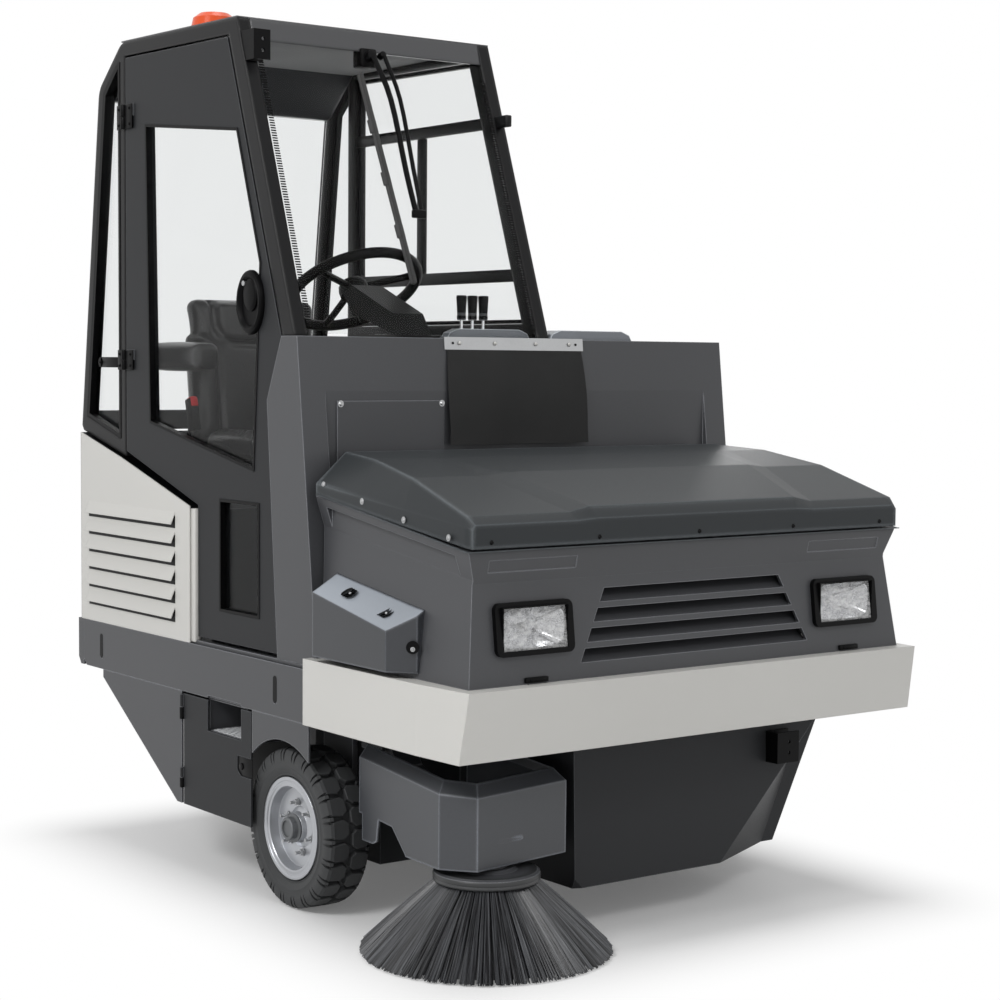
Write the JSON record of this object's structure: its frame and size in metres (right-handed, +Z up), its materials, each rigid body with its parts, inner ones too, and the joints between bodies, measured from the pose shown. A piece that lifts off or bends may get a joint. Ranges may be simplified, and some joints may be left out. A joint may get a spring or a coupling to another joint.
{
  "type": "ride-on road sweeper",
  "caption": "Compact ride-on road sweeper with a cab on three wheels, a front hopper, a main broom and one side brush.",
  "frame": {"origin": "on the ground, under the middle of the bounding box", "axes": "+Z up, -Y towards the front with the grille, +X towards the machine's left-hand side"},
  "size_m": [1.465, 1.955, 2.1912],
  "materials": {
    "dark_paint": "fine-textured charcoal powder coat",
    "hood_paint": "smooth satin charcoal paint",
    "light_paint": "light warm grey powder coat",
    "frame_black": "satin black paint",
    "tyre": "solid black rubber",
    "wheel_paint": "silver lacquer",
    "window": "clear",
    "lamp_lens": "fluted clear",
    "amber": "translucent amber",
    "red_lens": "translucent red",
    "seat_cover": "grained black",
    "rubber": "dull black",
    "black_plastic": "moulded black",
    "bristle": "dark bristle",
    "bare_steel": "zinc plated",
    "cover_metal": "pale grey paint",
    "engine_metal": "dull"
  },
  "bodies": {
    "chassis": {"access_cover": "dark_paint", "accessory_brackets": "frame_black", "beacon": "amber", "broom_housing": "dark_paint", "brush_bracket": "dark_paint", "bumper": "light_paint", "cab_floor": "dark_paint", "cab_roof_frame": "frame_black", "cab_side_left": "frame_black", "cab_side_right": "frame_black", "cab_windows": "window", "console": "dark_paint", "console_covers": "cover_metal", "control_levers": "black_plastic", "deck": "dark_paint", "engine_block": "engine_metal", "fixed_panels": "dark_paint", "flap_strip": "bare_steel", "front_shell": "dark_paint", "headlamp_lenses": "lamp_lens", "headlamps": "black_plastic", "hopper": "dark_paint", "lid_supports": "dark_paint", "rails": "dark_paint", "rear_cover": "light_paint", "rear_side_panels": "light_paint", "rubber_flaps": "rubber", "seat_frame": "black_plastic", "seat_pads": "seat_cover", "side_boxes": "cover_metal", "steering_column": "black_plastic", "step_tray": "dark_paint", "sub_frame": "dark_paint", "tail_lamps": "red_lens", "wheel_carriers": "dark_paint"},
    "front_wheel_right": {"tyre_front_right": "tyre", "rim_front_right": "wheel_paint"},
    "front_wheel_left": {"tyre_front_left": "tyre", "rim_front_left": "wheel_paint"},
    "rear_fork": {"steer_fork": "dark_paint"},
    "rear_wheel": {"tyre_rear": "tyre", "rim_rear": "wheel_paint"},
    "hand_wheel": {"steering_wheel": "black_plastic"},
    "brush_lift_arm": {"brush_arm": "dark_paint", "brush_cover": "dark_paint"},
    "side_brush_head": {"brush_plate": "black_plastic", "side_brush": "bristle"},
    "broom": {"main_broom": "bristle"},
    "cab_door_leaf": {"cab_door": "dark_paint", "door_windows": "window", "door_handle": "black_plastic"},
    "service_door_right_leaf": {"service_door_right": "dark_paint"},
    "service_door_left_leaf": {"service_door_left": "dark_paint"},
    "hood_leaf": {"hood": "hood_paint"},
    "engine_lid_leaf": {"engine_lid": "dark_paint"}
  },
  "joints": [
    {"name": "front_wheel_right_spin", "type": "hinge", "parent": "chassis", "child": "front_wheel_right", "pos_m": [-0.565, -0.1275, 0.1925], "axis": [1, 0, 0], "continuous": true},
    {"name": "front_wheel_left_spin", "type": "hinge", "parent": "chassis", "child": "front_wheel_left", "pos_m": [0.63, -0.1275, 0.1925], "axis": [1, 0, 0], "continuous": true},
    {"name": "rear_steer", "type": "hinge", "parent": "chassis", "child": "rear_fork", "pos_m": [0.0325, 0.6525, 0], "axis": [0, 0, 1], "range_deg": [-75, 75]},
    {"name": "rear_wheel_spin", "type": "hinge", "parent": "rear_fork", "child": "rear_wheel", "pos_m": [0.0325, 0.6525, 0.1925], "axis": [1, 0, 0], "continuous": true},
    {"name": "hand_wheel_turn", "type": "hinge", "parent": "chassis", "child": "hand_wheel", "pos_m": [-0.2525, 0.1675, 1.49], "axis": [0, 0.5299, 0.848], "range_deg": [-540, 540]},
    {"name": "brush_lift", "type": "hinge", "parent": "chassis", "child": "brush_lift_arm", "pos_m": [-0.4475, -0.3175, 0.42], "axis": [-1, 0, 0], "range_deg": [0, 8]},
    {"name": "side_brush_spin", "type": "hinge", "parent": "brush_lift_arm", "child": "side_brush_head", "pos_m": [-0.4475, -0.6925, 0.12], "axis": [0, 0, 1], "continuous": true},
    {"name": "main_broom_spin", "type": "hinge", "parent": "chassis", "child": "broom", "pos_m": [0.0325, 0.2275, 0.141], "axis": [1, 0, 0], "continuous": true},
    {"name": "cab_door_hinge", "type": "hinge", "parent": "chassis", "child": "cab_door_leaf", "pos_m": [-0.6335, 0.7045, 1.6], "axis": [0, 0, -1], "range_deg": [0, 95]},
    {"name": "service_door_right_hinge", "type": "hinge", "parent": "chassis", "child": "service_door_right_leaf", "pos_m": [-0.6415, 0.3675, 0.32], "axis": [0, 0, -1], "range_deg": [0, 100]},
    {"name": "service_door_left_hinge", "type": "hinge", "parent": "chassis", "child": "service_door_left_leaf", "pos_m": [0.7065, 0.3675, 0.32], "axis": [0, 0, 1], "range_deg": [0, 100]},
    {"name": "hood_hinge", "type": "hinge", "parent": "chassis", "child": "hood_leaf", "pos_m": [0.0325, -0.2645, 1.07], "axis": [-1, 0, 0], "range_deg": [0, 65]},
    {"name": "engine_lid_hinge", "type": "hinge", "parent": "chassis", "child": "engine_lid_leaf", "pos_m": [0.1665, 0.5075, 1.236], "axis": [0, -1, 0], "range_deg": [0, 75]}
  ],
  "couplings": [
    {"joint": "hand_wheel_turn", "follows": "rear_steer", "ratio": -7.2}
  ]
}
